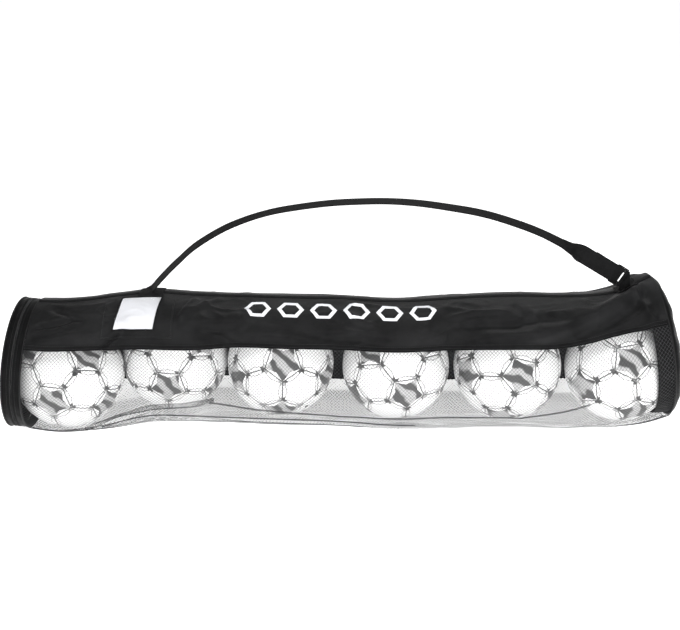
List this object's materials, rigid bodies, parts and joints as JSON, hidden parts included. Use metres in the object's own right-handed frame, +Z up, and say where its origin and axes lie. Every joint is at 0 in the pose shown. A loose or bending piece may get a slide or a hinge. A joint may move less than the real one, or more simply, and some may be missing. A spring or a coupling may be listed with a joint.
{
  "type": "mesh ball bag",
  "caption": "Long tube bag with a nylon back, a mesh belly holding a row of round sports balls, a zipped end flap, a name window and an adjustable shoulder strap.",
  "frame": {"origin": "centre of the bag's footprint, on the surface that it rests on", "axes": "+X along the bag from the zipped mouth to the closed end, -Y towards the front with the name window, +Z up through the strap"},
  "size_m": [1.3533, 0.3458, 0.4518],
  "materials": {
    "nylon": "fine plain-weave black nylon with a soft sheen",
    "mesh": "open diamond net of thin dark grey polyester threads",
    "binding": "folded black binding tape with two rows of stitching",
    "piping": "tight woven cover over a round cord",
    "zip_tape": "herringbone zip tape",
    "zip_teeth": "nylon coil",
    "zip_metal": "die-cast metal, satin",
    "label_card": "plain white card",
    "label_window": "clear soft plastic sheet",
    "ball": "white pebbled polyurethane cover with printed panels",
    "valve": "black rubber",
    "webbing": "ribbed black polypropylene webbing",
    "buckle": "moulded black acetal"
  },
  "bodies": {
    "bag": {"front_panel": "nylon", "back_panel": "nylon", "mesh_panel": "mesh", "ridge_binding": "binding", "front_hem": "binding", "back_hem": "binding", "mouth_band": "nylon", "mouth_tape": "zip_tape", "mouth_teeth": "zip_teeth", "mouth_piping": "piping", "zip_stops": "zip_metal", "flap_hinge": "nylon", "far_end_panel": "nylon", "far_band": "nylon", "far_piping": "piping", "label_pocket": "nylon", "label_card": "label_card", "label_window": "label_window", "left_patch": "binding", "left_stub": "webbing", "right_patch": "binding", "right_stub": "webbing", "ball_1": "ball", "ball_2": "ball", "ball_3": "ball", "ball_4": "ball", "ball_5": "ball", "ball_6": "ball", "ball_valves": "valve"},
    "end_flap": {"flap_gusset": "nylon", "flap_tape": "zip_tape", "flap_teeth": "zip_teeth", "flap_dome": "nylon", "flap_piping": "piping"},
    "zip_slider": {"slider_plate": "zip_metal", "slider_ears": "zip_metal", "slider_pin": "zip_metal"},
    "zip_pull": {"pull_tab": "zip_metal"},
    "strap": {"strap_webbing": "webbing", "strap_loop": "webbing"},
    "buckle": {"buckle_frame": "buckle", "buckle_bars": "buckle", "tab_loop": "webbing"},
    "tail": {"strap_tail": "webbing"}
  },
  "joints": [
    {"name": "flap_swing", "type": "hinge", "parent": "bag", "child": "end_flap", "pos_m": [-0.628, 0.0815, 0.1315], "axis": [-0.1045, 0, -0.9945], "range_deg": [0, 135]},
    {"name": "slider_run", "type": "hinge", "parent": "bag", "child": "zip_slider", "pos_m": [-0.628, -0.05, 0.1315], "axis": [0.9945, 0, -0.1045], "range_deg": [0, 285]},
    {"name": "pull_swing", "type": "hinge", "parent": "zip_slider", "child": "zip_pull", "pos_m": [-0.61946, 0.05846, 0.21278], "axis": [0.9945, 0, -0.1045], "range_deg": [0, 150]},
    {"name": "strap_swing", "type": "hinge", "parent": "bag", "child": "strap", "pos_m": [-0.361, 0.024, 0.287], "axis": [0.9997, -0.0241, 0], "range_deg": [-105, 105]},
    {"name": "buckle_rock", "type": "hinge", "parent": "strap", "child": "buckle", "pos_m": [0.559, 0.00145, 0.298], "axis": [0.515, 0, 0.8572], "range_deg": [-8.5, 8.5]},
    {"name": "tail_slide", "type": "slide", "parent": "strap", "child": "tail", "axis": [-0.8572, 0, 0.515], "range_m": [0, 0.03]}
  ]
}
